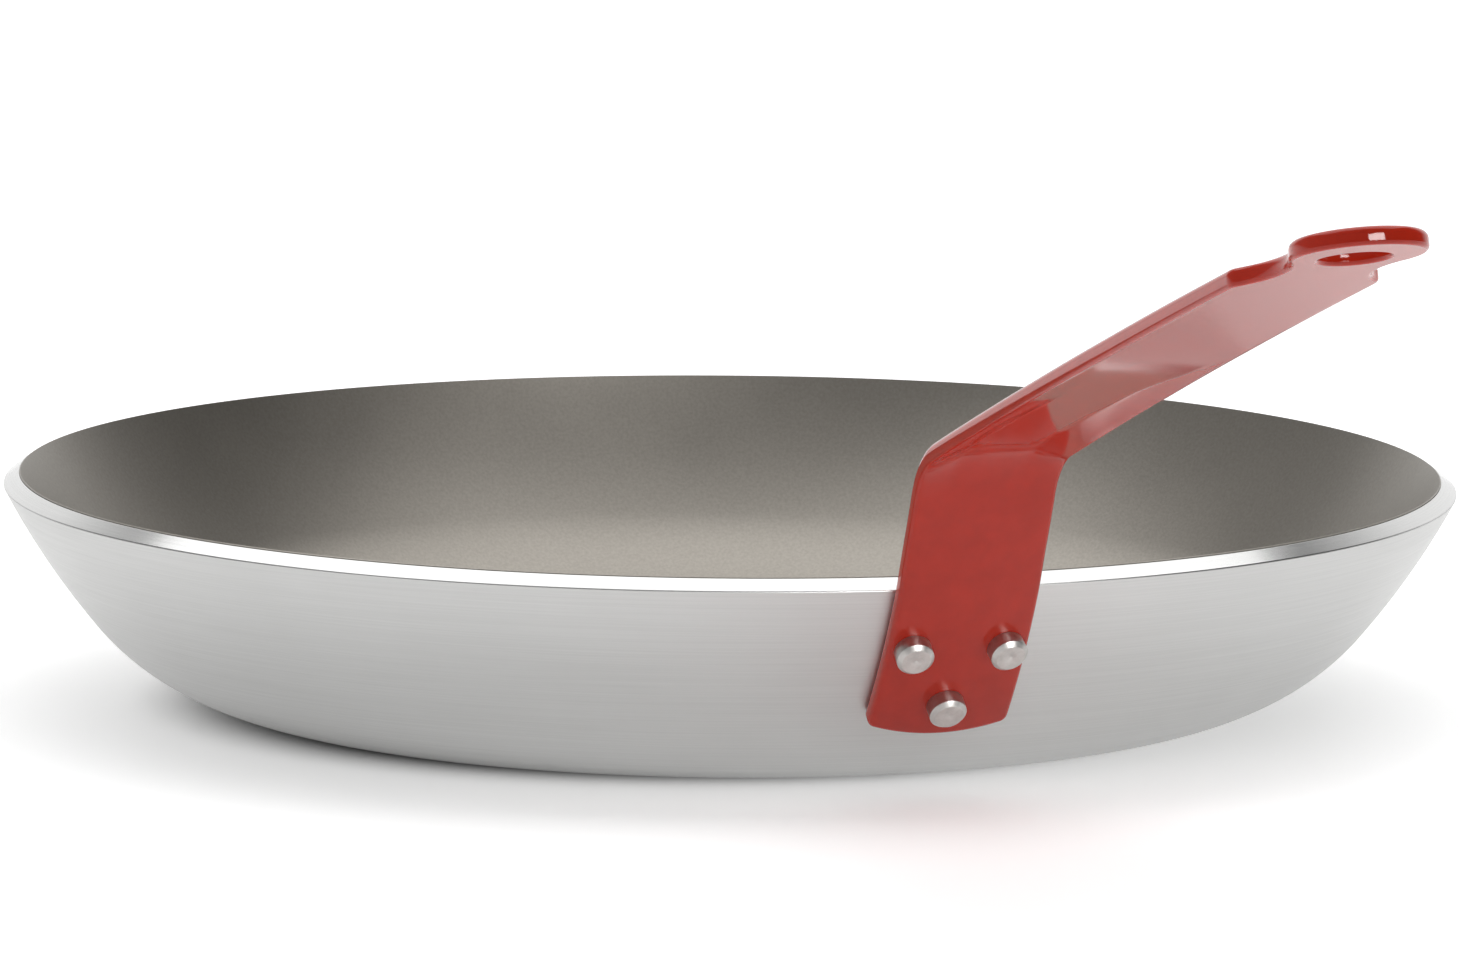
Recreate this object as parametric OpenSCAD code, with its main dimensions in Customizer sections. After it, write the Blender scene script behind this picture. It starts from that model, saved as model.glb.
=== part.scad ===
// Omelette pan: a spun aluminium dish with a non-stick lining and a formed steel strip handle held by three rivets.
// Millimetres. The origin is the centre of the flat base, +X runs along the handle and +Z is up.

/* [Pan] */
// Outside diameter of the pan across its rim
rim_d = 320; // [280:1:380]
// Height of the outer edge of the rim above the table
rim_h = 48.6; // [42:0.1:60]
// Thickness of the aluminium in the base and the wall
wall_t = 4.3; // [2.5:0.1:6]
// Outside radius of the round corner between base and wall
corner_r = 53.5; // [40:0.5:60]
// Angle through which that corner turns
corner_sweep = 50; // [42:1:54]
// Outside radius of the gentler curve of the wall above the corner
wall_r = 165; // [120:1:260]
// Slope of the machined face of the rim, which falls outwards
rim_bevel = 35; // [15:1:45]
// Thickness of the non-stick lining
lining_t = 0.3; // [0.2:0.05:0.6]

/* [Handle strip] */
// Width of the steel strip
strip_w = 31; // [26:0.5:40]
// Thickness of the steel strip
strip_t = 3.8; // [2.5:0.1:5]
// Radius on the upper long edges of the strip
edge_r = 1.5; // [0.4:0.1:1.8]
// Radius on the lower long edges next to the pan, where they are left crisp
edge_crisp_r = 0.5; // [0.2:0.1:1.2]
// Length of the toe that lies on the wall, measured down from the rim
toe_l = 38; // [34:0.5:46]
// Width of the toe at its lower end
toe_w = 31; // [24:0.5:40]
// Rise of the rounded lower end of the toe
toe_bow = 2.8; // [1:0.1:5]
// Radius of the two lower corners of the toe
toe_corner_r = 2.2; // [0.5:0.1:4]
// Gap between the wall and the back of the toe, which is pressed to the round of the wall
seat_gap = 0.06; // [0.05:0.01:0.2]
// Slope of the strip where it stands free above the rim
rise_angle = 68; // [62:1:76]
// Height of the bend's corner above the rim
bend_rise = 27.5; // [24:0.5:45]
// Radius of the bend on its hollow side
bend_r = 17; // [10:0.5:22]
// Slope of the grip where it leaves the bend
grip_angle = 19.5; // [12:0.5:30]
// Amount by which the grip flattens from the bend to the eye
grip_droop = 2.2; // [0.5:0.1:8]
// Length of the grip from the end of the bend to the middle of the eye
grip_l = 217.4; // [180:0.2:280]
// Length of the last, straight part of the grip, measured back from the middle of the eye
grip_straight_l = 46; // [40:1:60]

/* [Trough in the grip] */
// Depth of the trough in the underside of the grip
trough_depth = 2.8; // [0.5:0.1:4]
// Width of the flat bottom of the trough beside the bend
trough_w = 15; // [8:0.5:20]
// Distance from the bend at which the trough has died away
trough_l = 115; // [80:1:150]
// Half length over which each fold line is rounded
fold_soft = 1; // [0.5:0.1:3]

/* [Hanging eye] */
// Radius of the round eye
eye_r = 13.5; // [11:0.1:16]
// Radius of the hanging hole
eye_hole_r = 6.9; // [4:0.1:8.5]
// Distance of the hole's centre from the eye's centre, towards the pan
eye_hole_back = 2.8; // [0:0.1:3]
// Width of the neck at its narrowest
neck_w = 19.6; // [16:0.2:21]
// Radius of the two hollow curves that run from the shoulders over the neck into the eye
neck_r = 22; // [12:0.5:30]
// Radius of the two shoulders
shoulder_r = 5; // [3:0.1:7]

/* [Rivets] */
// Distance from the rim down the wall to the upper pair of rivets
rivet_drop = 12.8; // [11:0.1:15]
// Distance from the upper pair down the wall to the lower rivet
rivet_row = 15.6; // [13:0.1:17]
// Distance between the two upper rivets
rivet_pitch = 20; // [17:0.1:21]
// Diameter of the rivet shanks
shank_d = 6; // [4:0.1:6.5]
// Clearance round a shank in its hole, all round
shank_gap = 0.05; // [0.02:0.01:0.2]
// Diameter of the formed heads outside
button_d = 8; // [7:0.1:9]
// Height of the formed heads above the strip
button_h = 3.9; // [2:0.1:5]
// Width of the chamfer round the face of a formed head
button_chamfer = 0.9; // [0.3:0.1:1.5]
// Radius of the shallow dimple in the face of a formed head
dimple_r = 1.3; // [0.5:0.1:1.8]
// Depth of that dimple
dimple_depth = 0.25; // [0.1:0.05:0.6]
// Diameter of the wide flat heads inside the pan
head_d = 16; // [12:0.5:18]
// Height of the wide heads above the lining
head_h = 2.2; // [1:0.1:3]

/* [Hidden] */
$fn = 180;

// The outside of the wall is two tangent arcs. Angles are slopes: 0 is level, 90 is upright.
rim_r = rim_d / 2;
wall_cz = corner_r + (wall_r - corner_r) * cos(corner_sweep);
rim_angle = acos((wall_cz - rim_h) / wall_r);
wall_cx = rim_r - wall_r * sin(rim_angle);
base_flat_r = wall_cx + (wall_r - corner_r) * sin(corner_sweep);
wall_c = [wall_cx, wall_cz];
skin_t = wall_t + lining_t;
// The corner's radius is smaller by this, so that the two arcs join cleanly
joint_step = 0.01;
// Cutters reach past the material by this
cut_spare = 2;

// The unit vector square to a curve of slope a, to the right of the way up it
function side(a) = [sin(a), -cos(a)];
// The unit vector along a curve of slope a, on the way up it
function ahead(a) = [cos(a), sin(a)];
// The angle that a length takes up on the wall's outer arc
function wall_turn(length) = length / wall_r * 180 / PI;
// The radius of the wall's outside where its slope is a
function radius_at(a) = wall_cx + wall_r * sin(a);
// A ramp from 0 to 1 that starts and ends level
function ease(x) = let (k = min(1, max(0, x))) k * k * (3 - 2 * k);
// 0 before the fold, a straight rise after it, and a rounded passage between
function fold(x) = x < -fold_soft ? 0 : x > fold_soft ? x : pow(x + fold_soft, 2) / (4 * fold_soft);

// The centre line of the strip's outer face, which becomes the underside of the grip
toe_r = wall_r + seat_gap + strip_t;
// The strip is lofted longer than the part by this at both ends, and then cut to its outlines
end_spare = 4;
toe_from = rim_angle - wall_turn(toe_l + end_spare);
rim_point = wall_c + toe_r * side(rim_angle);
// Radius of the strip's outer face where it turns from the wall's slope into the free rise
kink_r = 40;
kink_c = rim_point - kink_r * side(rim_angle);
rise_from = kink_c + kink_r * side(rise_angle);
bend_tangent = bend_r * tan((rise_angle - grip_angle) / 2);
rise_l = (rim_h + bend_rise - rise_from[1]) / sin(rise_angle) - bend_tangent;
bend_from = rise_from + rise_l * ahead(rise_angle);
bend_c = bend_from + bend_r * side(rise_angle);
bend_l = bend_r * (rise_angle - grip_angle) * PI / 180;
grip_from = bend_c - bend_r * side(grip_angle);
eye_angle = grip_angle - grip_droop;
curved_l = grip_l - grip_straight_l;
grip_r = curved_l / (grip_droop * PI / 180);
grip_c = grip_from + grip_r * side(grip_angle);
straight_from = grip_c - grip_r * side(eye_angle);
eye_c = straight_from + grip_straight_l * ahead(eye_angle);
strip_end = grip_l + eye_r + end_spare;

// Each station along the strip is a point, a slope and a distance past the end of the bend
toe_steps = 8;
kink_steps = 2;
bend_steps = 9;
trough_steps = 14;
droop_steps = 2;
function toe_station(a, turn_l) = [wall_c + toe_r * side(a), a, turn_l];
function grip_station(d) = let (a = grip_angle - grip_droop * d / curved_l) [grip_c - grip_r * side(a), a, d];
stations = concat(
    [for (i = [0 : toe_steps]) let (a = toe_from + (rim_angle - toe_from) * i / toe_steps)
        [wall_c + toe_r * side(a), a, -bend_l - rise_l - toe_l * (1 - i / toe_steps)]],
    [for (i = [1 : kink_steps]) let (a = rim_angle + (rise_angle - rim_angle) * i / kink_steps)
        [kink_c + kink_r * side(a), a, -bend_l - rise_l]],
    [for (i = [0 : bend_steps]) let (a = rise_angle + (grip_angle - rise_angle) * i / bend_steps)
        [bend_c - bend_r * side(a), a, -bend_l * (1 - i / bend_steps)]],
    [for (i = [1 : trough_steps]) grip_station(trough_l * i / trough_steps)],
    [for (i = [1 : droop_steps]) grip_station(trough_l + (curved_l - trough_l) * i / droop_steps)],
    [[straight_from + (strip_end - curved_l) * ahead(eye_angle), eye_angle, strip_end]]
);

// The width, the depth and flat width of the trough, and the lower edges' radius at a station.
// The trough starts a little below the bend and has its full depth a little past it.
toe_top = -bend_l - rise_l;
trough_lead = 6;
trough_start = -bend_l - trough_lead;
trough_full = 8;
function width_at(d) = strip_w + (toe_w - strip_w) * min(1, max(0, (toe_top - d) / toe_l));
function depth_at(d) = trough_depth * ease((d - trough_start) / (trough_full - trough_start))
    * (1 - ease(d / trough_l));
function flat_at(d) = trough_w / 2 + (strip_w / 2 - edge_r - trough_w / 2) * ease(2 * d / trough_l - 1);
function low_edge_at(d) = edge_crisp_r + (edge_r - edge_crisp_r) * ease((d - trough_l / 3) / (trough_l / 3));

// One section across the strip, as pairs of a distance to the side and a height above the lower face
fold_steps = [-1, -0.4, 0.4, 1];
fold_space = 0.4;
low_edge_steps = 2;
top_edge_steps = 3;
function face_row(half, flat) = let (
    n = len(fold_steps),
    folds = [for (i = [0 : n - 1]) min(half - fold_space * (n - i), flat + fold_steps[i] * fold_soft)]
) concat(
    [-half], [for (i = [n - 1 : -1 : 0]) -folds[i]], [0], folds, [half]
);
function edge_arc(s, h, r, from, steps) = [for (i = [1 : steps - 1]) [s, h] + r * ahead(from + 90 * i / steps)];
function flat_section(w, low_r, flat) = concat(
    [for (s = face_row(w / 2 - low_r, flat)) [s, 0]],
    edge_arc(w / 2 - low_r, low_r, low_r, -90, low_edge_steps),
    [[w / 2, low_r], [w / 2, strip_t - edge_r]],
    edge_arc(w / 2 - edge_r, strip_t - edge_r, edge_r, 0, top_edge_steps),
    [for (s = face_row(w / 2 - edge_r, flat)) [-s, strip_t]],
    edge_arc(edge_r - w / 2, strip_t - edge_r, edge_r, 90, top_edge_steps),
    [[-w / 2, strip_t - edge_r], [-w / 2, low_r]],
    edge_arc(low_r - w / 2, low_r, low_r, 180, low_edge_steps)
);
function trough(s, w, d) = let (flat = flat_at(d))
    depth_at(d) * (1 - fold(abs(s) - flat) / fold(w / 2 - flat));
// The toe is bowed across to the round of the wall, and the bow dies away before the bend
function bow(s, a, d) = s * s * sin(a) / (2 * radius_at(a)) * (1 - ease((d - toe_top) / rise_l));
function ring(st) = let (a = st[1], d = st[2], w = width_at(d)) [
    for (p = flat_section(w, low_edge_at(d), flat_at(d)))
        let (q = st[0] - (p[1] + trough(p[0], w, d) + bow(p[0], a, d)) * side(a)) [q[0], p[0], q[1]]
];

// Places its children on the outside of the wall, square to it, where the slope is a and s to the side
module on_wall(a, s = 0) {
    rotate(asin(s / radius_at(a)))
        translate([radius_at(a), 0, wall_c[1] - wall_r * cos(a)]) rotate([0, 180 - a, 0]) children();
}

// Places its children in the middle of the eye, on the underside of the strip
module on_eye() {
    translate([eye_c[0], 0, eye_c[1]]) rotate([0, -eye_angle, 0]) children();
}

// The side of the pan's section above the round corner
module above_corner() {
    translate(wall_c) rotate(corner_sweep - 90) square([2 * wall_r, 2 * wall_r]);
}

// Half of the section of everything that lies this deep below the pan's outer surface, or deeper
module filled(depth) {
    translate([0, depth]) square([base_flat_r, rim_d]);
    translate([base_flat_r, corner_r]) circle(r = corner_r - joint_step - depth);
    intersection() {
        translate(wall_c) circle(r = wall_r - depth);
        above_corner();
        translate([base_flat_r / 2, 0]) square([rim_d, rim_d]);
    }
}

// Half of the pan's section between two depths, cut off by the face of the rim
module layer(from, to) {
    reach = 2 * rim_d;
    difference() {
        filled(from);
        filled(to);
        translate([rim_r, rim_h]) rotate(-rim_bevel) translate([-reach, 0]) square([2 * reach, reach]);
    }
}

rivet_spots = [
    [rim_angle - wall_turn(rivet_drop), -rivet_pitch / 2],
    [rim_angle - wall_turn(rivet_drop), rivet_pitch / 2],
    [rim_angle - wall_turn(rivet_drop + rivet_row), 0]
];

module rivet_holes() {
    reach = skin_t + strip_t + cut_spare;
    for (spot = rivet_spots) on_wall(spot[0], spot[1]) translate([0, 0, -reach])
        cylinder(d = shank_d + 2 * shank_gap, h = 2 * reach);
}

module pan_body() {
    color([0.80, 0.81, 0.80]) difference() {
        rotate(180) rotate_extrude() layer(0, wall_t);
        rivet_holes();
    }
}

module nonstick_lining() {
    color([0.52, 0.51, 0.48]) difference() {
        rotate(180) rotate_extrude() layer(wall_t, skin_t);
        rivet_holes();
    }
}

// The strip before its ends are cut to shape, lofted through the stations
module bent_strip() {
    rings = [for (st = stations) ring(st)];
    n = len(rings[0]);
    last = len(rings) - 1;
    hubs = [for (i = [0, last]) let (q = stations[i][0] - strip_t / 2 * side(stations[i][1])) [q[0], 0, q[1]]];
    points = concat([for (r = rings) each r], hubs);
    hub = len(rings) * n;
    walls = [for (i = [0 : last - 1]) for (j = [0 : n - 1]) let (k = (j + 1) % n)
        each [[i * n + j, (i + 1) * n + k, i * n + k], [i * n + j, (i + 1) * n + j, (i + 1) * n + k]]];
    start_cap = [for (j = [0 : n - 1]) [hub, j, (j + 1) % n]];
    end_cap = [for (j = [0 : n - 1]) [hub + 1, last * n + (j + 1) % n, last * n + j]];
    polyhedron(points = points, faces = concat(walls, start_cap, end_cap), convexity = 6);
}

// Outline of the toe's rounded lower end, in the frame of on_wall
module toe_outline() {
    bow_r = (pow(toe_w / 2, 2) + pow(toe_bow, 2)) / (2 * toe_bow);
    corner_y = toe_w / 2 - toe_corner_r;
    corner_x = sqrt(pow(bow_r - toe_corner_r, 2) - pow(corner_y, 2)) - bow_r;
    intersection() {
        translate([-bow_r, 0]) circle(r = bow_r);
        union() {
            translate([-2 * bow_r, -strip_w]) square([2 * bow_r + corner_x, 2 * strip_w]);
            translate([-2 * bow_r, -corner_y]) square([2 * bow_r, 2 * corner_y]);
            for (s = [-1, 1]) translate([corner_x, s * corner_y]) circle(r = toe_corner_r);
        }
    }
}

// The centres of one hollow curve of the neck and of one shoulder, in the frame of on_eye. The
// hollow curve touches the eye and the shoulder, and the shoulder passes the strip's side by a hair.
side_pass = 0.05;
neck_y = neck_w / 2 + neck_r;
neck_c = [-sqrt(pow(eye_r + neck_r, 2) - pow(neck_y, 2)), neck_y];
shoulder_y = strip_w / 2 - shoulder_r + side_pass;
shoulder_c = [neck_c[0] - sqrt(pow(neck_r + shoulder_r, 2) - pow(neck_y - shoulder_y, 2)), shoulder_y];

// The point at a distance from p on the way to q
function towards(p, q, distance) = p + distance * (q - p) / norm(q - p);

// Outline of the shoulders, neck and eye, in the frame of on_eye
module eye_outline() {
    eye_touch = towards([0, 0], neck_c, eye_r - side_pass);
    shoulder_touch = towards(shoulder_c, neck_c, shoulder_r - side_pass);
    half = [shoulder_c - [shoulder_r, 0], shoulder_touch, eye_touch];
    circle(r = eye_r);
    difference() {
        polygon(concat(half, [for (i = [2 : -1 : 0]) [half[i][0], -half[i][1]]]));
        for (s = [-1, 1]) translate([neck_c[0], s * neck_y]) circle(r = neck_r);
    }
    for (s = [-1, 1]) translate([shoulder_c[0], s * shoulder_y]) circle(r = shoulder_r);
}

module handle() {
    tall = 10 * strip_t;
    wide = 2 * strip_w;
    color([0.66, 0.16, 0.13]) difference() {
        bent_strip();
        on_wall(rim_angle - wall_turn(toe_l)) translate([0, 0, -tall / 2]) linear_extrude(tall) difference() {
            translate([-2 * toe_bow - toe_corner_r, -wide / 2]) square([4 * toe_bow + 4 * end_spare, wide]);
            toe_outline();
        }
        on_eye() translate([0, 0, -tall / 2]) linear_extrude(tall) difference() {
            translate([shoulder_c[0], -wide / 2]) square([eye_r - shoulder_c[0] + 2 * end_spare, wide]);
            eye_outline();
        }
        rivet_holes();
        on_eye() translate([-eye_hole_back, 0, 0]) cylinder(r = eye_hole_r, h = tall, center = true);
    }
}

// Wide head inside the pan, bedded on the lining, with its shank and the head formed outside
module rivet(spot) {
    head_r = head_d / 2;
    head_side = 0.6;
    dome_h = head_h - head_side;
    dome_r = (head_r * head_r + dome_h * dome_h) / (2 * dome_h);
    button_r = button_d / 2;
    bed_turn = 30;
    color([0.78, 0.78, 0.77]) {
        difference() {
            on_wall(spot[0], spot[1]) translate([0, 0, -skin_t]) intersection() {
                translate([0, 0, dome_r - head_h]) sphere(r = dome_r);
                translate([0, 0, -head_h]) cylinder(r = head_r, h = head_h + cut_spare);
            }
            rotate(-bed_turn / 2) rotate_extrude(angle = bed_turn) layer(0, skin_t);
        }
        on_wall(spot[0], spot[1]) {
            translate([0, 0, -skin_t - head_side]) cylinder(d = shank_d, h = skin_t + head_side + strip_t + cut_spare);
            translate([0, 0, seat_gap + strip_t]) rotate_extrude() polygon([
                [0, 0], [button_r, 0], [button_r, button_h - button_chamfer],
                [button_r - button_chamfer, button_h], [dimple_r, button_h], [0, button_h - dimple_depth]
            ]);
        }
    }
}

module rivet_upper_left() { rivet(rivet_spots[0]); }
module rivet_upper_right() { rivet(rivet_spots[1]); }
module rivet_lower() { rivet(rivet_spots[2]); }

pan_body();
nonstick_lining();
handle();
rivet_upper_left();
rivet_upper_right();
rivet_lower();
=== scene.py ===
"""Dresses the omelette pan: dish, lining, strip handle and rivets, with a plain studio round it."""

import math

import bmesh
import bpy
from bpy.props import FloatProperty, FloatVectorProperty, PointerProperty
from mathutils import Matrix, Vector


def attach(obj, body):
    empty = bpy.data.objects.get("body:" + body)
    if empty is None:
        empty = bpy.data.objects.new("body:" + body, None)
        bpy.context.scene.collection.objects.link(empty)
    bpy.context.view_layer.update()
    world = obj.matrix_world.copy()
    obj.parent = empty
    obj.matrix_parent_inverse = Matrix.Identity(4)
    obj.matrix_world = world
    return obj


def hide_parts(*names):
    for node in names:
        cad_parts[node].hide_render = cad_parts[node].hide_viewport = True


bl_info = {
    "name": "Omelette pan",
    "version": (1, 0, 0),
    "blender": (4, 5, 0),
    "location": "View3D > Sidebar > Pan",
    "description": "Builds the finish of an omelette pan, and a plain studio round it",
    "category": "Object",
}

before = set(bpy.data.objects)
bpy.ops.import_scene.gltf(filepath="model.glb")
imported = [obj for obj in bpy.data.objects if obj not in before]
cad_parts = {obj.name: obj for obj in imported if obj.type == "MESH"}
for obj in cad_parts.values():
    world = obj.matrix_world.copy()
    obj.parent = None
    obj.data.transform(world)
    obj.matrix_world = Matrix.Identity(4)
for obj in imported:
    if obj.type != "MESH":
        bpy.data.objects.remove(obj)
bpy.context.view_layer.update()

MM = 0.001
# Sizes of the spun dish in millimetres and degrees, the same as in the part's source
RIM_R = 160.0
RIM_H = 48.6
WALL_T = 4.3
CORNER_R = 53.5
CORNER_SWEEP = 50.0
WALL_R = 165.0
RIM_BEVEL = 35.0
LINING_T = 0.3
# How finely the dish is drawn, and the corners of its mesh that stay crisp, in degrees
BASE_RINGS = 6
CORNER_STEPS = 48
WALL_STEPS = 24
SPIN_STEPS = 288
DISH_CREASE = 22.0

# Sizes of the strip in millimetres and degrees, the same as in the part's source
STRIP_W = 31.0
STRIP_T = 3.8
SEAT_GAP = 0.06
TOE_L = 38.0
TOE_BOW = 2.8
TOE_CORNER_R = 2.2
KINK_R = 40.0
RISE_ANGLE = 68.0
BEND_RISE = 27.5
BEND_R = 17.0
GRIP_ANGLE = 19.5
GRIP_DROOP = 2.2
GRIP_L = 217.4
GRIP_STRAIGHT_L = 46.0
TROUGH_DEPTH = 2.8
TROUGH_W = 15.0
TROUGH_L = 115.0
FOLD_SOFT = 1.0
EYE_R = 13.5
EYE_HOLE_R = 6.9
EYE_HOLE_BACK = 2.8
NECK_W = 19.6
NECK_R = 22.0
SHOULDER_R = 5.0
EDGE_R = 1.5
# Sizes of the strip that differ a little from the source, for the light along the bend: where the
# trough starts before the bend, where it is full past it, and the rounding of the lower edges
TROUGH_LEAD = 2.0
TROUGH_FULL = 2.5
LOW_EDGE_R = 0.9
# Columns of the strip's mesh: some by the distance from the fold, as a share of its rounding, the
# others by the distance from the middle. The columns beside the fold stay this far from the edge,
# and past the trough they go back to their places over this length.
FOLD_COLUMNS = (-1.0, -0.6, -0.2, 0.2, 0.6, 1.0)
PLAIN_COLUMNS = (2.2, 4.4, 10.2, 12.0, 13.4)
COLUMN_GAP = 1.5
COLUMN_RETURN_L = 50.0
STRIP_CREASE = 60.0

RIVETS = ("rivet_upper_left", "rivet_upper_right", "rivet_lower")
RIVET_COLOUR = (0.56, 0.54, 0.52)
RIVET_CREASE = 30.0
# Noise textures lie mostly between these levels
NOISE_SPAN = (0.3, 0.7)

# Half the floor's width. The studio's sizes are in metres.
FLOOR_HALF = 6.0
# Light that the floor adds for the camera and in reflections, so that it is plain white outside the
# shadow. Under the pan this light fades out in a round patch, which is a painted shadow. Below are
# the patch's middle and the radii where the fade starts and where the light is full.
FLOOR_LIFT = 0.37
PAINTED_SHADOW_MIDDLE = (-0.004, -0.012, 0.0)
PAINTED_SHADOW_RADII = (0.095, 0.122)
# The backdrop as metal shows it: cosines to the way back at which it starts and is full
BACKDROP_EDGE = (0.58, 0.82)
# Width and length of the lights. The box is placed across, back and up, the card in world axes.
OVERHEAD_SIZE = (2.9, 2.3)
OVERHEAD_PLACE = (-0.08, 0.70, 1.9)
CARD_SIZE = (0.55, 0.45)
CARD_PLACE = (1.468, 0.21, 0.54)
CARD_AIM = (0.39, 0.0, 0.15)
# The photograph's camera: the point it looks at, its small tilt and roll, and its focal length as
# a share of the picture's width
CAMERA_AIM = (0.0, 0.0, 0.0511)
CAMERA_TILT = -0.00123
CAMERA_ROLL = 0.00825
SENSOR_MM = 36.0
FOCAL_PX = 12774.06
PICTURE_PX = 1460.0


class DishSettings(bpy.types.PropertyGroup):
    """Colours and finish of the aluminium dish and its lining."""

    metal: FloatVectorProperty(
        name="Aluminium", description="Colour of the brushed aluminium", subtype="COLOR",
        size=3, min=0.0, max=1.0, default=(0.56, 0.56, 0.553),
    )
    brushing: FloatProperty(
        name="Brushing", description="Strength of the fine turned lines outside",
        default=0.35, min=0.0, max=1.0,
    )
    lining: FloatVectorProperty(
        name="Lining", description="Colour of the non-stick lining", subtype="COLOR",
        size=3, min=0.0, max=1.0, default=(0.325, 0.303, 0.270),
    )


class HandleSettings(bpy.types.PropertyGroup):
    """Colour and finish of the strip handle."""

    enamel: FloatVectorProperty(
        name="Enamel", description="Colour of the handle's coat", subtype="COLOR",
        size=3, min=0.0, max=1.0, default=(0.55, 0.027, 0.010),
    )
    orange_peel: FloatProperty(
        name="Orange peel", description="Depth of the faint waves in the coat",
        subtype="DISTANCE", unit="LENGTH", default=0.00001, min=0.0, max=0.0002,
    )


class StageSettings(bpy.types.PropertyGroup):
    """The studio: camera and light levels."""

    camera_distance: FloatProperty(
        name="Camera distance", description="From the camera to the middle of the rim",
        subtype="DISTANCE", unit="LENGTH", default=2.8152, min=0.5, max=10.0,
    )
    camera_azimuth: FloatProperty(
        name="Camera azimuth", description="Bearing of the camera round the pan",
        subtype="ANGLE", unit="ROTATION", default=math.radians(-17.9), min=-math.pi, max=math.pi,
    )
    camera_height: FloatProperty(
        name="Camera elevation", description="Angle of the camera above the rim",
        subtype="ANGLE", unit="ROTATION", default=0.14209, min=0.0, max=1.5,
    )
    key_power: FloatProperty(
        name="Overhead box", description="Power of the wide soft box overhead",
        subtype="POWER", unit="POWER", default=31.5, min=0.0, max=200.0,
    )
    card_power: FloatProperty(
        name="Side card", description="Power of the small lit card that glints in the handle",
        subtype="POWER", unit="POWER", default=13.5, min=0.0, max=50.0,
    )
    fill_level: FloatProperty(
        name="Fill level", description="Strength of the even light from all round",
        default=0.42, min=0.0, max=2.0,
    )
    fill_lean: FloatProperty(
        name="Fill lean", description="How much stronger the even light is from the right",
        default=0.2, min=0.0, max=1.0,
    )
    room_level: FloatProperty(
        name="Room level", description="Brightness of the room beside the backdrop, in metal",
        default=0.15, min=0.0, max=1.0,
    )
    room_lean: FloatProperty(
        name="Room lean", description="How much brighter metal shows the room on the left",
        default=0.8, min=0.0, max=1.0,
    )


def plain_object(name, data):
    piece = bpy.data.objects.new(name, data)
    bpy.context.scene.collection.objects.link(piece)
    return piece


def mesh_from(bm, name):
    mesh = bpy.data.meshes.new(name)
    bm.to_mesh(mesh)
    bm.free()
    return mesh


def smooth_with_creases(mesh, degrees):
    for face in mesh.polygons:
        face.use_smooth = True
    mesh.set_sharp_from_angle(angle=math.radians(degrees))


def round_edges(piece, name, width, degrees):
    """A bevel modifier on the edges that turn by more than this many degrees."""
    bevel = piece.modifiers.new(name, "BEVEL")
    bevel.width = width * MM
    bevel.segments = 3
    bevel.limit_method = "ANGLE"
    bevel.angle_limit = math.radians(degrees)
    return bevel


def node_group(name, inputs, outputs):
    """A new shader node group with named sockets, and its input and output nodes."""
    group = bpy.data.node_groups.new(name, "ShaderNodeTree")
    for label, kind, default in inputs:
        socket = group.interface.new_socket(name=label, in_out="INPUT", socket_type=kind)
        if default is not None:
            socket.default_value = default
    for label, kind in outputs:
        group.interface.new_socket(name=label, in_out="OUTPUT", socket_type=kind)
    return group, group.nodes.new("NodeGroupInput"), group.nodes.new("NodeGroupOutput")


def math_node(tree, operation, first, second=None, third=None):
    node = tree.nodes.new("ShaderNodeMath")
    node.operation = operation
    for socket, value in zip(node.inputs, (first, second, third)):
        if value is None:
            continue
        if isinstance(value, (int, float)):
            socket.default_value = value
        else:
            tree.links.new(value, socket)
    return node.outputs[0]


def vector_value(tree, operation, vector, constant):
    """The number that a vector operation makes of a vector and a constant one."""
    node = tree.nodes.new("ShaderNodeVectorMath")
    node.operation = operation
    tree.links.new(vector, node.inputs[0])
    node.inputs[1].default_value = constant
    return node.outputs["Value"]


def noise_node(tree, vector, scale, detail, roughness):
    node = tree.nodes.new("ShaderNodeTexNoise")
    node.inputs["Scale"].default_value = scale
    node.inputs["Detail"].default_value = detail
    node.inputs["Roughness"].default_value = roughness
    tree.links.new(vector, node.inputs["Vector"])
    return node.outputs["Fac"]


def turned_lines_group():
    """Fine lines round the Z axis, as a lathe leaves them, and patches where they are fainter."""
    pitch, patch_size = 2600.0, 9.0
    bearing_scale = 3.0
    group, ins, outs = node_group(
        "turned lines",
        [
            ("Position", "NodeSocketVector", None),
            ("Pitch", "NodeSocketFloat", pitch),
            ("Patch size", "NodeSocketFloat", patch_size),
        ],
        [("Lines", "NodeSocketFloat"), ("Patches", "NodeSocketFloat")],
    )
    links = group.links
    split = group.nodes.new("ShaderNodeSeparateXYZ")
    links.new(ins.outputs["Position"], split.inputs[0])
    x, y, z = split.outputs
    squares = math_node(
        group, "ADD", math_node(group, "POWER", x, 2.0), math_node(group, "POWER", y, 2.0),
    )
    radius = math_node(group, "SQRT", squares)
    bearing = math_node(group, "ARCTAN2", y, x)
    along = group.nodes.new("ShaderNodeCombineXYZ")
    links.new(math_node(group, "MULTIPLY", radius, ins.outputs["Pitch"]), along.inputs[0])
    links.new(math_node(group, "MULTIPLY", z, ins.outputs["Pitch"]), along.inputs[1])
    links.new(math_node(group, "MULTIPLY", bearing, bearing_scale), along.inputs[2])
    lines = noise_node(group, along.outputs[0], scale=1.0, detail=3.0, roughness=0.6)
    position = ins.outputs["Position"]
    patches = noise_node(group, position, patch_size, detail=3.0, roughness=0.55)
    links.new(ins.outputs["Patch size"], patches.node.inputs["Scale"])
    links.new(lines, outs.inputs["Lines"])
    links.new(patches, outs.inputs["Patches"])
    return group


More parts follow.
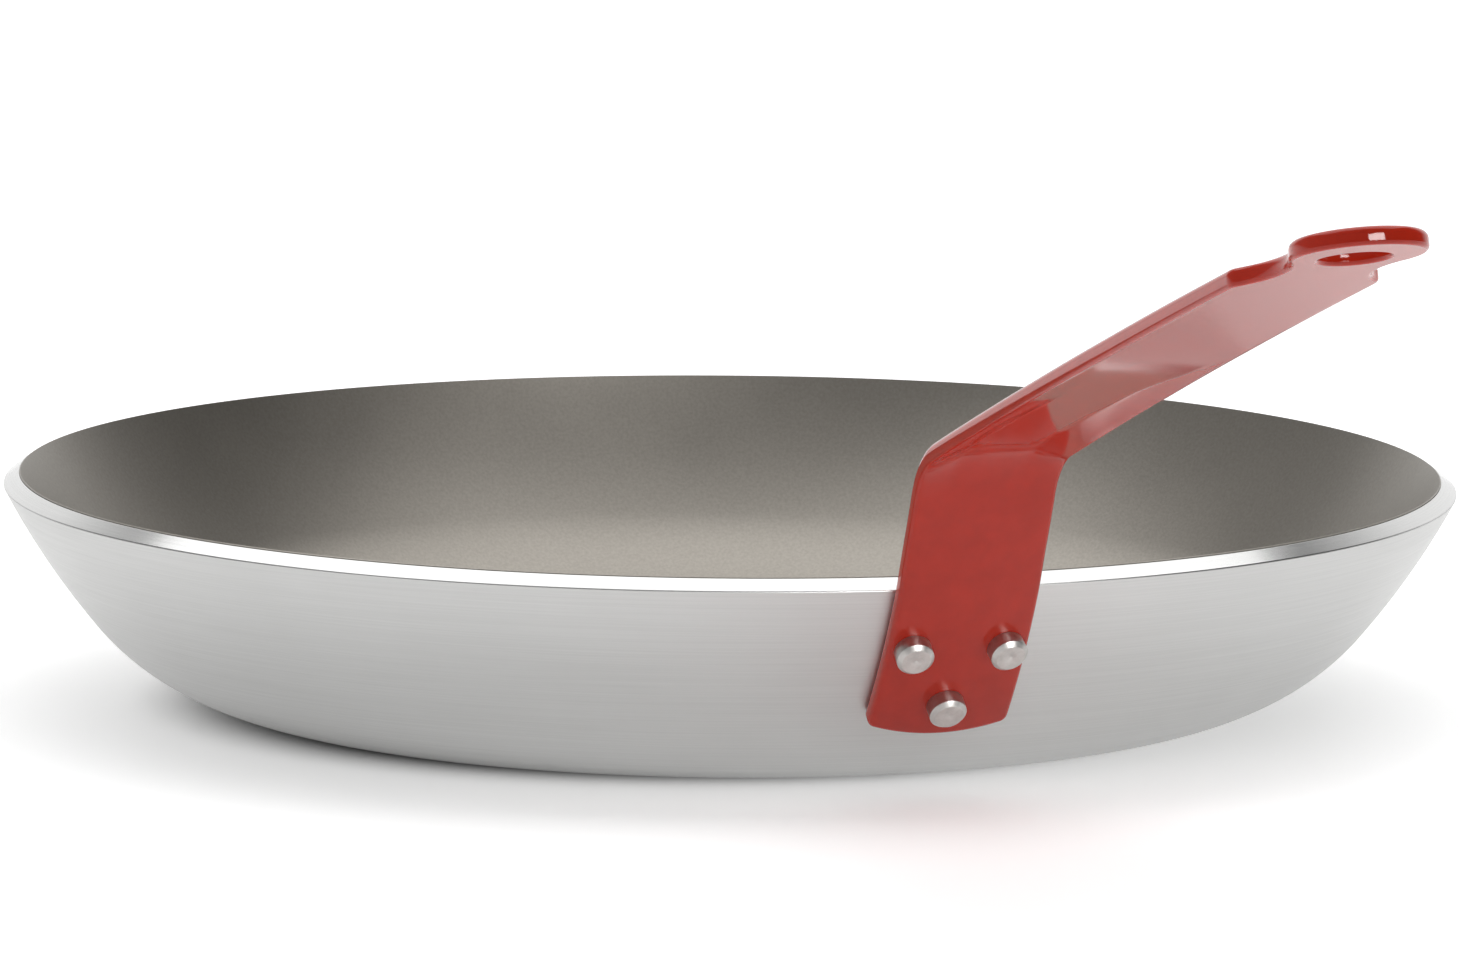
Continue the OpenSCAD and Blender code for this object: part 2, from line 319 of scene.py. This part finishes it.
def fine_grain_group():
    """Speckle of a sprayed or cast surface: a coarse cloud and a fine grain, both from 0 to 1."""
    cloud_scale, grain_scale = 12.0, 1500.0
    group, ins, outs = node_group(
        "fine grain",
        [
            ("Position", "NodeSocketVector", None),
            ("Cloud scale", "NodeSocketFloat", cloud_scale),
            ("Grain scale", "NodeSocketFloat", grain_scale),
        ],
        [("Cloud", "NodeSocketFloat"), ("Grain", "NodeSocketFloat")],
    )
    position = ins.outputs["Position"]
    cloud = noise_node(group, position, cloud_scale, detail=4.0, roughness=0.6)
    grain = noise_node(group, position, grain_scale, detail=2.0, roughness=0.5)
    group.links.new(ins.outputs["Cloud scale"], cloud.node.inputs["Scale"])
    group.links.new(ins.outputs["Grain scale"], grain.node.inputs["Scale"])
    group.links.new(cloud, outs.inputs["Cloud"])
    group.links.new(grain, outs.inputs["Grain"])
    return group


def new_material(name):
    """A material with a bare Principled BSDF, its tree, and the object's own coordinates."""
    material = bpy.data.materials.new(name)
    material.use_nodes = True
    tree = material.node_tree
    shader = tree.nodes["Principled BSDF"]
    position = tree.nodes.new("ShaderNodeTexCoord").outputs["Object"]
    return material, tree, shader, position


def place_group(tree, group, position, values):
    node = tree.nodes.new("ShaderNodeGroup")
    node.node_tree = group
    tree.links.new(position, node.inputs["Position"])
    for label, value in values.items():
        node.inputs[label].default_value = value
    return node


def between(tree, mask, low, high, from_low=0.0, from_high=1.0):
    """A number or a colour that goes from low to high as the mask goes between its two levels."""
    if isinstance(low, (int, float)):
        node = tree.nodes.new("ShaderNodeMapRange")
        node.inputs["From Min"].default_value = from_low
        node.inputs["From Max"].default_value = from_high
        node.inputs["To Min"].default_value = low
        node.inputs["To Max"].default_value = high
        tree.links.new(mask, node.inputs["Value"])
        return node.outputs["Result"]
    node = tree.nodes.new("ShaderNodeValToRGB")
    node.color_ramp.elements[0].position = from_low
    node.color_ramp.elements[0].color = (*low, 1.0)
    node.color_ramp.elements[1].position = from_high
    node.color_ramp.elements[1].color = (*high, 1.0)
    tree.links.new(mask, node.inputs["Fac"])
    return node.outputs["Color"]


def mixed(tree, first, share, second, second_share):
    """The sum of a share of each of two masks."""
    return math_node(
        tree, "MULTIPLY_ADD", first, share, math_node(tree, "MULTIPLY", second, second_share),
    )


def tinted(colour, factor):
    return tuple(min(1.0, c * factor) for c in colour)


def finish(tree, shader, colour, tone, tints, wear, roughness, tone_span=NOISE_SPAN):
    """Colour that varies between two tints with one mask, and roughness that does with another."""
    tints = [tinted(colour, factor) for factor in tints]
    tree.links.new(between(tree, tone, *tints, *tone_span), shader.inputs["Base Color"])
    tree.links.new(between(tree, wear, *roughness, *NOISE_SPAN), shader.inputs["Roughness"])


def relief(tree, shader, height, depth, strength):
    """A bump of this depth in metres."""
    node = tree.nodes.new("ShaderNodeBump")
    node.inputs["Distance"].default_value = depth
    node.inputs["Strength"].default_value = strength
    tree.links.new(height, node.inputs["Height"])
    tree.links.new(node.outputs["Normal"], shader.inputs["Normal"])


def brushed_aluminium(lines_group, colour, strength):
    material, tree, shader, position = new_material("brushed aluminium")
    turned = place_group(tree, lines_group, position, {"Pitch": 2600.0, "Patch size": 14.0})
    lines, patches = turned.outputs["Lines"], turned.outputs["Patches"]
    tone = mixed(tree, lines, 0.65, patches, 0.35)
    finish(tree, shader, colour, tone, tints=(0.95, 1.05), wear=tone, roughness=(0.44, 0.36))
    shader.inputs["Metallic"].default_value = 1.0
    relief(tree, shader, lines, depth=0.000012, strength=strength)
    return material


def bright_rim(lines_group, colour):
    material, tree, shader, position = new_material("machined rim")
    turned = place_group(tree, lines_group, position, {"Pitch": 4200.0, "Patch size": 20.0})
    lines, patches = turned.outputs["Lines"], turned.outputs["Patches"]
    finish(tree, shader, colour, lines, tints=(1.14, 1.25), wear=patches, roughness=(0.14, 0.22))
    shader.inputs["Metallic"].default_value = 1.0
    relief(tree, shader, lines, depth=0.000004, strength=0.4)
    return material


def lining_coat(grain_group, lines_group, colour):
    material, tree, shader, position = new_material("nonstick coating")
    speckle = place_group(tree, grain_group, position, {"Cloud scale": 16.0, "Grain scale": 1400.0})
    cloud, grain = speckle.outputs["Cloud"], speckle.outputs["Grain"]
    turned = place_group(tree, lines_group, position, {"Pitch": 900.0, "Patch size": 30.0})
    tone = mixed(tree, grain, 0.7, cloud, 0.3)
    finish(
        tree, shader, colour, tone, tints=(0.93, 1.07), wear=cloud, roughness=(0.38, 0.44),
        tone_span=(0.35, 0.65),
    )
    shader.inputs["Metallic"].default_value = 0.9
    height = math_node(tree, "MULTIPLY_ADD", turned.outputs["Lines"], 0.4, grain)
    relief(tree, shader, height, depth=0.00003, strength=0.5)
    return material


def red_enamel(grain_group, colour, peel):
    material, tree, shader, position = new_material("handle enamel")
    waves = place_group(tree, grain_group, position, {"Cloud scale": 160.0, "Grain scale": 2200.0})
    cloud, grain = waves.outputs["Cloud"], waves.outputs["Grain"]
    finish(tree, shader, colour, cloud, tints=(0.93, 1.07), wear=grain, roughness=(0.05, 0.09))
    shader.inputs["IOR"].default_value = 1.42
    relief(tree, shader, cloud, depth=peel, strength=0.6)
    return material


def rivet_metal(grain_group, colour):
    material, tree, shader, position = new_material("rivet metal")
    cast = place_group(tree, grain_group, position, {"Cloud scale": 420.0, "Grain scale": 3200.0})
    cloud, grain = cast.outputs["Cloud"], cast.outputs["Grain"]
    finish(tree, shader, colour, cloud, tints=(0.78, 1.02), wear=grain, roughness=(0.34, 0.46))
    shader.inputs["Metallic"].default_value = 1.0
    relief(tree, shader, cloud, depth=0.00008, strength=0.5)
    return material


def line_on(bm, start, end):
    """Draws a straight line on from a vertex, and gives the vertex at its end."""
    last = bm.verts.new(end)
    bm.edges.new((start, last))
    return last


def arc_on(bm, start, centre, axis, degrees, steps):
    """Draws an arc on from a vertex, by a turn round an axis, and gives the vertex at its end."""
    swept = bmesh.ops.spin(
        bm, geom=[start], cent=centre, axis=axis, dvec=(0, 0, 0),
        angle=math.radians(degrees), steps=steps, use_merge=False, use_duplicate=False,
    )
    return swept["geom_last"][0]


def wall_arcs():
    """Centre of the wall's arc, the slope of its outside at the rim, and the radius of the base."""
    past_corner = WALL_R - CORNER_R
    centre_z = CORNER_R + past_corner * math.cos(math.radians(CORNER_SWEEP))
    rim_slope = math.degrees(math.acos((centre_z - RIM_H) / WALL_R))
    centre_x = RIM_R - WALL_R * math.sin(math.radians(rim_slope))
    base_r = centre_x + past_corner * math.sin(math.radians(CORNER_SWEEP))
    return (centre_x, centre_z), rim_slope, base_r


def draw_wall(bm, depth):
    """Draws the section of the surface this deep below the outside, from the axis to the rim."""
    (centre_x, centre_z), _, base_r = wall_arcs()
    end = bm.verts.new((0.0, 0.0, depth))
    for ring in range(1, BASE_RINGS + 1):
        end = line_on(bm, end, (base_r * ring / BASE_RINGS, 0.0, depth))
    # The rim's face is a straight line in the section: find the slope where the wall meets it
    fall = math.radians(RIM_BEVEL)
    level = (RIM_R - centre_x) * math.sin(fall) + (RIM_H - centre_z) * math.cos(fall)
    slope = math.degrees(math.acos(-level / (WALL_R - depth))) - RIM_BEVEL
    outward = (0.0, -1.0, 0.0)
    end = arc_on(bm, end, (base_r, 0.0, CORNER_R), outward, CORNER_SWEEP, CORNER_STEPS)
    arc_on(bm, end, (centre_x, 0.0, centre_z), outward, slope - CORNER_SWEEP, WALL_STEPS)


def spun_layer(name, shallow, deep):
    """The layer between two depths below the dish's outside: two spun surfaces and the rim."""
    bm = bmesh.new()
    draw_wall(bm, shallow)
    draw_wall(bm, deep)
    bmesh.ops.spin(
        bm, geom=bm.verts[:] + bm.edges[:], cent=(0, 0, 0), axis=(0, 0, 1), dvec=(0, 0, 0),
        angle=2 * math.pi, steps=SPIN_STEPS, use_merge=True, use_duplicate=False,
    )
    bmesh.ops.scale(bm, vec=(MM, MM, MM), verts=bm.verts)
    bmesh.ops.remove_doubles(bm, verts=bm.verts, dist=1e-6)
    bmesh.ops.bridge_loops(bm, edges=[edge for edge in bm.edges if edge.is_boundary])
    bmesh.ops.recalc_face_normals(bm, faces=bm.faces)
    mesh = mesh_from(bm, name)
    smooth_with_creases(mesh, DISH_CREASE)
    return mesh


class PAN_OT_dish(bpy.types.Operator):
    """Spin the aluminium dish and give it its brushed outside and machined rim"""

    bl_idname = "pan.dish"
    bl_label = "Dish"

    def execute(self, context):
        settings = context.scene.pan_dish
        lines = turned_lines_group()
        mesh = spun_layer("dish", 0.0, WALL_T)
        dish = plain_object("dish", mesh)
        bevel = round_edges(dish, "broken edges", width=0.35, degrees=35.0)
        bevel.harden_normals = True
        mesh.materials.append(brushed_aluminium(lines, settings.metal, settings.brushing))
        mesh.materials.append(bright_rim(lines, settings.metal))
        rim_low = RIM_H * MM - 1e-6
        for face in mesh.polygons:
            if min(mesh.vertices[v].co.z for v in face.vertices) >= rim_low:
                face.material_index = 1
        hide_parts("pan_body")
        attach(dish, "root")
        return {"FINISHED"}


class PAN_OT_lining(bpy.types.Operator):
    """Spin the non-stick lining that covers the inside of the dish"""

    bl_idname = "pan.lining"
    bl_label = "Lining"

    def execute(self, context):
        settings = context.scene.pan_dish
        grain, lines = fine_grain_group(), bpy.data.node_groups["turned lines"]
        mesh = spun_layer("lining", WALL_T, WALL_T + LINING_T)
        lining = plain_object("lining", mesh)
        mesh.materials.append(lining_coat(grain, lines, settings.lining))
        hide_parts("nonstick_lining")
        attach(lining, "root")
        return {"FINISHED"}


def ease(x):
    k = min(1.0, max(0.0, x))
    return k * k * (3 - 2 * k)


def fold(x):
    """0 before the fold, a straight rise after it, and a rounded passage between."""
    if x < -FOLD_SOFT:
        return 0.0
    return x if x > FOLD_SOFT else (x + FOLD_SOFT) ** 2 / (4 * FOLD_SOFT)


def onward(point, slope, curve, distance):
    """Where a curve of this curvature (in radians a millimetre) leads, and its slope there."""
    x, z = point
    if curve == 0:
        return (x + distance * math.cos(slope), z + distance * math.sin(slope)), slope
    turned = slope + curve * distance
    x += (math.sin(turned) - math.sin(slope)) / curve
    z -= (math.cos(turned) - math.cos(slope)) / curve
    return (x, z), turned


class StripPath:
    """Line along the middle of the strip's face that is outside on the toe and below on the grip.

    It is measured from the rim on, and down the toe the distance is negative.
    """

    def __init__(self):
        (self.centre_x, centre_z), rim_slope, _ = wall_arcs()
        self.rim_slope = math.radians(rim_slope)
        self.toe_r = WALL_R + SEAT_GAP + STRIP_T
        self.rim_point = (
            self.centre_x + self.toe_r * math.sin(self.rim_slope),
            centre_z - self.toe_r * math.cos(self.rim_slope),
        )
        rise, grip = math.radians(RISE_ANGLE), math.radians(GRIP_ANGLE)
        self.kink_l = KINK_R * (rise - self.rim_slope)
        kink_end, _ = onward(self.rim_point, self.rim_slope, 1 / KINK_R, self.kink_l)
        to_bend = (RIM_H + BEND_RISE - kink_end[1]) / math.sin(rise)
        self.rise_l = to_bend - BEND_R * math.tan((rise - grip) / 2)
        self.bend_l = BEND_R * (rise - grip)
        self.curved_l = GRIP_L - GRIP_STRAIGHT_L
        self.spans = [
            (self.kink_l, 1 / KINK_R),
            (self.rise_l, 0.0),
            (self.bend_l, -1 / BEND_R),
            (self.curved_l, -math.radians(GRIP_DROOP) / self.curved_l),
            (math.inf, 0.0),
        ]
        self.grip_from = self.kink_l + self.rise_l + self.bend_l
        self.toe_end = -TOE_L * self.toe_r / WALL_R
        self.eye_at = self.grip_from + GRIP_L

    def at(self, along):
        """The point, the slope and the distance past the end of the bend."""
        point, slope = self.rim_point, self.rim_slope
        if along < 0:
            point, slope = onward(point, slope, 1 / self.toe_r, along)
            return point, slope, self.kink_l - self.grip_from + along * WALL_R / self.toe_r
        left = along
        for length, curve in self.spans:
            if left <= length:
                break
            point, slope = onward(point, slope, curve, length)
            left -= length
        point, slope = onward(point, slope, curve, left)
        return point, slope, max(along, self.kink_l) - self.grip_from

    def flat_half(self, past):
        """Half width of the trough's flat bottom."""
        half = TROUGH_W / 2
        return half + (STRIP_W / 2 - EDGE_R - half) * ease(2 * past / TROUGH_L - 1)

    def rise_of_trough(self, side, past):
        start = -self.bend_l - TROUGH_LEAD
        pressed = ease((past - start) / (TROUGH_FULL - start))
        depth = TROUGH_DEPTH * pressed * (1 - ease(past / TROUGH_L))
        flat = self.flat_half(past)
        return depth * (1 - fold(abs(side) - flat) / fold(STRIP_W / 2 - flat))

    def bow(self, side, slope, past):
        """How far the toe is bowed back at its sides, to the round of the wall."""
        radius = self.centre_x + WALL_R * math.sin(slope)
        toe_top = -self.bend_l - self.rise_l
        share = 1 - ease((past - toe_top) / self.rise_l)
        return side * side * math.sin(slope) / (2 * radius) * share

    def column(self, side, past):
        """Moves a column of the plate sideways, so that those beside the fold follow it."""
        outer = STRIP_W / 2 - EDGE_R
        half = TROUGH_W / 2
        reach = abs(side)
        if reach >= outer:
            return side
        share = 1 - ease((past - TROUGH_L) / COLUMN_RETURN_L)
        target = half + (min(self.flat_half(past), outer - COLUMN_GAP) - half) * share
        if reach <= half:
            moved = reach * target / half
        else:
            moved = target + (reach - half) * (outer - target) / (outer - half)
        return math.copysign(moved, side)

    def place(self, along, side, height):
        """Where a point of the flat plate comes to lie, in metres."""
        point, slope, past = self.at(along)
        side = self.column(side, past)
        offset = height + self.rise_of_trough(side, past) + self.bow(side, slope, past)
        x = point[0] - offset * math.sin(slope)
        z = point[1] + offset * math.cos(slope)
        return Vector((x, side, z)) * MM


def draw_half_outline(bm, path):
    """Draws the right half of the flat strip: toe, side, shoulder, neck, eye and hanging hole."""
    half = STRIP_W / 2
    # Axes of the turns to the left and to the right, seen from above
    left, right = (0.0, 0.0, 1.0), (0.0, 0.0, -1.0)

    bow_r = (half ** 2 + TOE_BOW ** 2) / (2 * TOE_BOW)
    corner_y = half - TOE_CORNER_R
    reach = math.sqrt((bow_r - TOE_CORNER_R) ** 2 - corner_y ** 2)
    turn = math.degrees(math.atan2(corner_y, reach))
    bow_x = path.toe_end + bow_r
    tip = bm.verts.new((path.toe_end, 0.0, 0.0))
    end = arc_on(bm, tip, (bow_x, 0.0, 0.0), right, turn, steps=12)
    end = arc_on(bm, end, (bow_x - reach, corner_y, 0.0), right, 90.0 - turn, steps=8)

    eye = path.eye_at
    neck_y = NECK_W / 2 + NECK_R
    neck_x = -math.sqrt((EYE_R + NECK_R) ** 2 - neck_y ** 2)
    shoulder_y = half - SHOULDER_R
    drop = neck_y - shoulder_y
    shoulder_x = neck_x - math.sqrt((NECK_R + SHOULDER_R) ** 2 - drop ** 2)
    to_neck = math.degrees(math.atan2(drop, neck_x - shoulder_x))
    to_eye = math.degrees(math.atan2(neck_y, neck_x))
    end = line_on(bm, end, (eye + shoulder_x, half, 0.0))
    end = arc_on(bm, end, (eye + shoulder_x, shoulder_y, 0.0), right, 90.0 - to_neck, steps=10)
    end = arc_on(bm, end, (eye + neck_x, neck_y, 0.0), left, to_eye - to_neck, steps=22)
    end = arc_on(bm, end, (eye, 0.0, 0.0), right, to_eye, steps=44)

    hole_x = eye - EYE_HOLE_BACK
    end = line_on(bm, end, (hole_x + EYE_HOLE_R, 0.0, 0.0))
    end = arc_on(bm, end, (hole_x, 0.0, 0.0), left, 180.0, steps=40)
    bm.edges.new((end, tip))


def round_over(bm, level, radius, segments):
    """Rounds the edges round the outline and the hole of the flat plate's face at this level."""
    rim = [
        edge for edge in bm.edges
        if all(abs(vert.co.z - level) < 1e-6 for vert in edge.verts)
        and any(abs(face.normal.z) < 0.5 for face in edge.link_faces)
    ]
    bmesh.ops.bevel(
        bm, geom=rim, offset=radius, offset_type="OFFSET", segments=segments, profile=0.5,
        affect="EDGES", material=-1, clamp_overlap=False,
    )


def rule_rows(bm, path):
    """Cuts the flat plate into rows, close together where it will bend, and gives the last one."""
    start = path.toe_end
    bend_from = path.grip_from - path.bend_l
    # Where each part of the strip ends, from the toe on, and how far apart its rows are
    for end, pitch in (
        (0.0, 3.0),
        (path.kink_l, 1.0),
        (bend_from, 1.5),
        (path.grip_from, 0.7),
        (path.grip_from + TROUGH_FULL, 0.9),
        (path.grip_from + TROUGH_L, 2.4),
        (path.grip_from + path.curved_l, 4.0),
    ):
        count = max(1, round((end - start) / pitch))
        for k in range(1, count + 1):
            bmesh.ops.bisect_plane(
                bm, geom=bm.verts[:] + bm.edges[:] + bm.faces[:], dist=1e-4,
                plane_co=(start + (end - start) * k / count, 0.0, 0.0), plane_no=(1.0, 0.0, 0.0),
            )
        start = end
    return start


def rule_columns(bm, last_row):
    """Cuts the plate into columns as far as the last row, closest beside the trough's folds."""
    columns = [TROUGH_W / 2 + FOLD_SOFT * k for k in FOLD_COLUMNS]
    for column in (*columns, *PLAIN_COLUMNS):
        for side in (-column, column):
            faces = [face for face in bm.faces if face.calc_center_median().x < last_row]
            parts = set(faces)
            for face in faces:
                parts.update(face.edges)
                parts.update(face.verts)
            bmesh.ops.bisect_plane(
                bm, geom=list(parts), dist=1e-4,
                plane_co=(0.0, side, 0.0), plane_no=(0.0, 1.0, 0.0),
            )


def strip_mesh():
    """The strip: cut flat, its edges rounded, ruled into rows and columns, bent and pressed."""
    path = StripPath()
    bm = bmesh.new()
    draw_half_outline(bm, path)
    bmesh.ops.contextual_create(bm, geom=bm.edges[:])
    bmesh.ops.mirror(bm, geom=bm.verts[:] + bm.edges[:] + bm.faces[:], merge_dist=1e-3, axis="Y")
    raised = bmesh.ops.extrude_face_region(bm, geom=bm.faces[:])["geom"]
    lifted = [part for part in raised if isinstance(part, bmesh.types.BMVert)]
    bmesh.ops.translate(bm, verts=lifted, vec=(0.0, 0.0, STRIP_T))
    bmesh.ops.recalc_face_normals(bm, faces=bm.faces)
    round_over(bm, STRIP_T, EDGE_R, segments=4)
    round_over(bm, 0.0, LOW_EDGE_R, segments=3)

    rule_columns(bm, rule_rows(bm, path))
    for vert in bm.verts:
        vert.co = path.place(*vert.co)
    bmesh.ops.recalc_face_normals(bm, faces=bm.faces)
    mesh = mesh_from(bm, "strip")
    smooth_with_creases(mesh, STRIP_CREASE)
    return mesh


class PAN_OT_handle(bpy.types.Operator):
    """Cut, bend and press the strip handle, and give it its coat"""

    bl_idname = "pan.handle"
    bl_label = "Handle"

    def execute(self, context):
        settings = context.scene.pan_handle
        grain = bpy.data.node_groups["fine grain"]
        mesh = strip_mesh()
        mesh.materials.append(red_enamel(grain, settings.enamel, settings.orange_peel))
        strip = plain_object("strip", mesh)
        weigh = strip.modifiers.new("flat faces stay flat", "WEIGHTED_NORMAL")
        weigh.weight = 50
        weigh.keep_sharp = True
        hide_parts("handle")
        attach(strip, "root")
        return {"FINISHED"}


def merged_copy(node, name, crease):
    """A copy of a CAD node's mesh with its loose triangles joined and its creases kept."""
    bm = bmesh.new()
    bm.from_mesh(node.data)
    bmesh.ops.remove_doubles(bm, verts=bm.verts, dist=2e-6)
    bmesh.ops.dissolve_degenerate(bm, dist=1e-6, edges=bm.edges)
    mesh = mesh_from(bm, name)
    smooth_with_creases(mesh, crease)
    return mesh


class PAN_OT_rivets(bpy.types.Operator):
    """Give the three rivets their satin metal and soft edges"""

    bl_idname = "pan.rivets"
    bl_label = "Rivets"

    def execute(self, context):
        metal = rivet_metal(bpy.data.node_groups["fine grain"], RIVET_COLOUR)
        for node_name in RIVETS:
            name = node_name + "_worn"
            mesh = merged_copy(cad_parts[node_name], name, RIVET_CREASE)
            mesh.materials.clear()
            mesh.materials.append(metal)
            rivet = plain_object(name, mesh)
            round_edges(rivet, "soft edges", width=0.3, degrees=RIVET_CREASE)
            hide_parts(node_name)
            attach(rivet, "root")
        return {"FINISHED"}


def floor_material():
    """Pale floor that takes shadow and looks plain white where nothing darkens it, with a painted
    shadow under the pan where its added light fades.
    """
    material, tree, shader, position = new_material("floor")
    shader.inputs["Base Color"].default_value = (0.96, 0.96, 0.96, 1.0)
    shader.inputs["Roughness"].default_value = 0.55
    shader.inputs["Specular IOR Level"].default_value = 0.2
    rays = tree.nodes.new("ShaderNodeLightPath").outputs
    seen = math_node(tree, "MAXIMUM", rays["Is Camera Ray"], rays["Is Glossy Ray"])
    seen = math_node(tree, "MAXIMUM", seen, rays["Is Transmission Ray"])
    # Painted shadow: the added light fades out in a round patch under the pan, set a little off its
    # middle
    away = vector_value(tree, "DISTANCE", position, PAINTED_SHADOW_MIDDLE)
    clear = between(tree, away, 0.0, 1.0, *PAINTED_SHADOW_RADII)
    clear.node.interpolation_type = "SMOOTHSTEP"
    lift = math_node(tree, "MULTIPLY", clear, FLOOR_LIFT)
    glow = tree.nodes.new("ShaderNodeEmission")
    tree.links.new(math_node(tree, "MULTIPLY", seen, lift), glow.inputs["Strength"])
    both = tree.nodes.new("ShaderNodeAddShader")
    tree.links.new(shader.outputs[0], both.inputs[0])
    tree.links.new(glow.outputs[0], both.inputs[1])
    tree.links.new(both.outputs[0], tree.nodes["Material Output"].inputs["Surface"])
    return material


def area_light(name, size, power):
    data = bpy.data.lights.new(name, "AREA")
    data.shape = "RECTANGLE"
    data.size, data.size_y = size
    data.energy = power
    return plain_object(name, data)


def across_and_back(bearing):
    """The level ways to the right and to the back, as the camera at this bearing sees them."""
    sine, cosine = math.sin(bearing), math.cos(bearing)
    return Vector((-sine, cosine, 0.0)), Vector((-cosine, -sine, 0.0))


def studio_world(settings):
    """Soft fill from all round, plain white for the camera, and for metal a backdrop and a room.

    The fill is stronger from the right. Metal shows the backdrop white and the room dim, and
    brighter on the left.
    """
    world = bpy.data.worlds.new("studio")
    world.use_nodes = True
    tree = world.node_tree
    across, back = across_and_back(settings.camera_azimuth)
    facing = tree.nodes.new("ShaderNodeTexCoord").outputs["Generated"]
    rightness = vector_value(tree, "DOT_PRODUCT", facing, across)

    def leaning(level, lean):
        return between(tree, rightness, level * (1 - lean), level * (1 + lean), -1.0, 1.0)

    fill = leaning(settings.fill_level, settings.fill_lean)
    room = leaning(settings.room_level, -settings.room_lean)
    backness = vector_value(tree, "DOT_PRODUCT", facing, back)
    backdrop = between(tree, backness, 0.0, 1.0, *BACKDROP_EDGE)
    shown = math_node(tree, "MAXIMUM", room, backdrop)
    rays = tree.nodes.new("ShaderNodeLightPath").outputs
    mirrored = math_node(tree, "MAXIMUM", rays["Is Glossy Ray"], rays["Is Transmission Ray"])
    plain = math_node(tree, "SUBTRACT", 1.0, mirrored)
    shown = math_node(
        tree, "ADD",
        math_node(tree, "MULTIPLY", mirrored, shown), math_node(tree, "MULTIPLY", plain, fill),
    )
    shown = math_node(tree, "MAXIMUM", shown, rays["Is Camera Ray"])
    light = tree.nodes["Background"]
    light.inputs["Color"].default_value = (1.0, 1.0, 1.0, 1.0)
    tree.links.new(shown, light.inputs["Strength"])
    return world


def camera_matrix(settings):
    """Place and turn of the camera: it looks at the middle of the rim, slightly tilted."""
    bearing, height = settings.camera_azimuth, settings.camera_height
    level = math.cos(height)
    toward = Vector((level * math.cos(bearing), level * math.sin(bearing), math.sin(height)))
    right, _ = across_and_back(bearing)
    up = toward.cross(right)
    tilt = Matrix.Rotation(CAMERA_TILT, 3, right)
    axis, up = tilt @ toward, tilt @ up
    roll = Matrix.Rotation(CAMERA_ROLL, 3, axis)
    basis = Matrix((roll @ right, roll @ up, axis)).transposed().to_4x4()
    basis.translation = Vector(CAMERA_AIM) + toward * settings.camera_distance
    return basis


class PAN_OT_stage(bpy.types.Operator):
    """Set up the floor, the soft studio light and the camera"""

    bl_idname = "pan.stage"
    bl_label = "Stage"

    def execute(self, context):
        scene = context.scene
        settings = scene.pan_stage
        bm = bmesh.new()
        bmesh.ops.create_grid(bm, x_segments=2, y_segments=2, size=FLOOR_HALF)
        floor = plain_object("floor", mesh_from(bm, "floor"))
        floor.data.materials.append(floor_material())

        scene.world = studio_world(settings)
        across, back = across_and_back(settings.camera_azimuth)
        overhead = area_light("overhead box", OVERHEAD_SIZE, settings.key_power)
        shift, further, height = OVERHEAD_PLACE
        overhead.location = across * shift + back * further + Vector((0.0, 0.0, height))
        overhead.rotation_euler = (0.0, 0.0, settings.camera_azimuth + math.pi / 2)
        card = area_light("side card", CARD_SIZE, settings.card_power)
        card.visible_diffuse = False
        card.location = CARD_PLACE
        aim = Vector(CARD_AIM) - card.location
        card.rotation_euler = aim.to_track_quat("-Z", "Y").to_euler()

        data = bpy.data.cameras.new("view")
        data.sensor_width = SENSOR_MM
        data.lens = FOCAL_PX * SENSOR_MM / PICTURE_PX
        data.clip_start = 0.05
        data.clip_end = 50.0
        camera = plain_object("view", data)
        camera.matrix_world = camera_matrix(settings)
        scene.camera = camera
        scene.view_settings.view_transform = "Standard"
        return {"FINISHED"}


class PAN_PT_panel(bpy.types.Panel):
    """Lists the steps that dress the pan"""

    bl_label = "Omelette pan"
    bl_idname = "PAN_PT_panel"
    bl_space_type = "VIEW_3D"
    bl_region_type = "UI"
    bl_category = "Pan"

    def draw(self, context):
        for group in (context.scene.pan_dish, context.scene.pan_handle, context.scene.pan_stage):
            for key in group.bl_rna.properties.keys():
                if key not in {"rna_type", "name"}:
                    self.layout.prop(group, key)
        for operator in STEPS:
            self.layout.operator(operator.bl_idname)


STEPS = (PAN_OT_dish, PAN_OT_lining, PAN_OT_handle, PAN_OT_rivets, PAN_OT_stage)
CLASSES = (DishSettings, HandleSettings, StageSettings, *STEPS, PAN_PT_panel)


def register():
    for cls in CLASSES:
        bpy.utils.register_class(cls)
    bpy.types.Scene.pan_dish = PointerProperty(type=DishSettings)
    bpy.types.Scene.pan_handle = PointerProperty(type=HandleSettings)
    bpy.types.Scene.pan_stage = PointerProperty(type=StageSettings)


def unregister():
    del bpy.types.Scene.pan_stage
    del bpy.types.Scene.pan_handle
    del bpy.types.Scene.pan_dish
    for cls in reversed(CLASSES):
        bpy.utils.unregister_class(cls)


def main():
    register()
    bpy.ops.pan.dish()
    bpy.ops.pan.lining()
    bpy.ops.pan.handle()
    bpy.ops.pan.rivets()
    bpy.ops.pan.stage()


if __name__ == "__main__":
    main()
